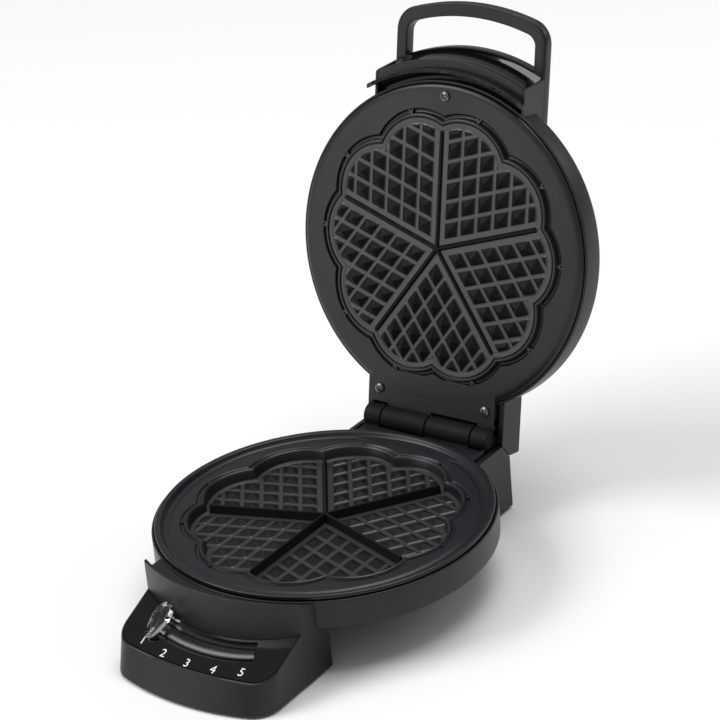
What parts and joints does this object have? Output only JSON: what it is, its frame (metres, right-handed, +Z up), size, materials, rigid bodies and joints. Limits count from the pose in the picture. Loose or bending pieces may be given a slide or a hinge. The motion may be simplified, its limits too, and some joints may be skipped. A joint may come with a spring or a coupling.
{
  "type": "waffle maker",
  "caption": "Round household waffle maker shown open: heart-pattern plates in black housings, hinged lid with loop handle, control box with temperature slider.",
  "frame": {"origin": "centre of the open machine's bounding box, on the surface it stands on", "axes": "+Z up, -Y towards the user (control box), +Y towards the hinge, +X to the user's right; rest pose is the lid fully open"},
  "size_m": [0.214, 0.364, 0.3138],
  "materials": {
    "black_shell": "fine satin moulded heat-proof plastic",
    "black_gloss": "high gloss",
    "non_stick_coating": "cast aluminium under dark grey non-stick coating",
    "steel": "satin",
    "clear_plastic": "clear, polished",
    "rubber": "matte",
    "inner_plastic": "plain moulded",
    "lamp_lens": "translucent red"
  },
  "bodies": {
    "base": {"base_housing": "black_shell", "box_cover": "black_shell", "box_cover_screw_1": "steel", "box_cover_screw_2": "steel", "control_panel": "black_gloss", "cord_gland": "rubber", "foot_front_left": "rubber", "foot_front_right": "rubber", "foot_rear_left": "rubber", "foot_rear_right": "rubber", "hinge_pin": "steel", "lower_element": "steel", "lower_heat_shield": "steel", "lower_plate": "non_stick_coating", "lower_plate_screw_1": "steel", "lower_plate_screw_2": "steel", "lower_plate_screw_3": "steel", "lower_plate_screw_4": "steel", "rear_cover": "black_shell", "rear_cover_screw_1": "steel", "rear_cover_screw_2": "steel", "sensor_bulb": "steel", "slider_rail": "black_gloss", "terminal_block": "inner_plastic", "thermal_fuse": "inner_plastic", "thermostat_body": "inner_plastic"},
    "lid": {"handle": "black_shell", "handle_screw_1": "steel", "handle_screw_2": "steel", "lid_housing": "black_shell", "upper_element": "steel", "upper_heat_shield": "steel", "upper_plate": "non_stick_coating", "upper_plate_screw_1": "steel", "upper_plate_screw_2": "steel", "upper_plate_screw_3": "steel"},
    "slider": {"temperature_knob": "clear_plastic", "slider_carriage": "inner_plastic", "pilot_lamp": "lamp_lens"},
    "thermostat_lever": {"thermostat_arm": "inner_plastic"}
  },
  "joints": [
    {"name": "lid_hinge", "type": "hinge", "parent": "base", "child": "lid", "pos_m": [0, 0.09198, 0.0525], "axis": [1, 0, 0], "range_deg": [0, 101.9]},
    {"name": "temperature_slide", "type": "hinge", "parent": "base", "child": "slider", "pos_m": [0, -0.04795, 0.07359], "axis": [0, -0.4066, 0.9136], "range_deg": [0, 32.4]},
    {"name": "thermostat_turn", "type": "hinge", "parent": "base", "child": "thermostat_lever", "pos_m": [0, -0.12497, 0.03932], "axis": [0, -0.4066, 0.9136], "range_deg": [0, 98.2]}
  ],
  "couplings": [
    {"joint": "thermostat_turn", "follows": "temperature_slide", "ratio": 3.03}
  ]
}
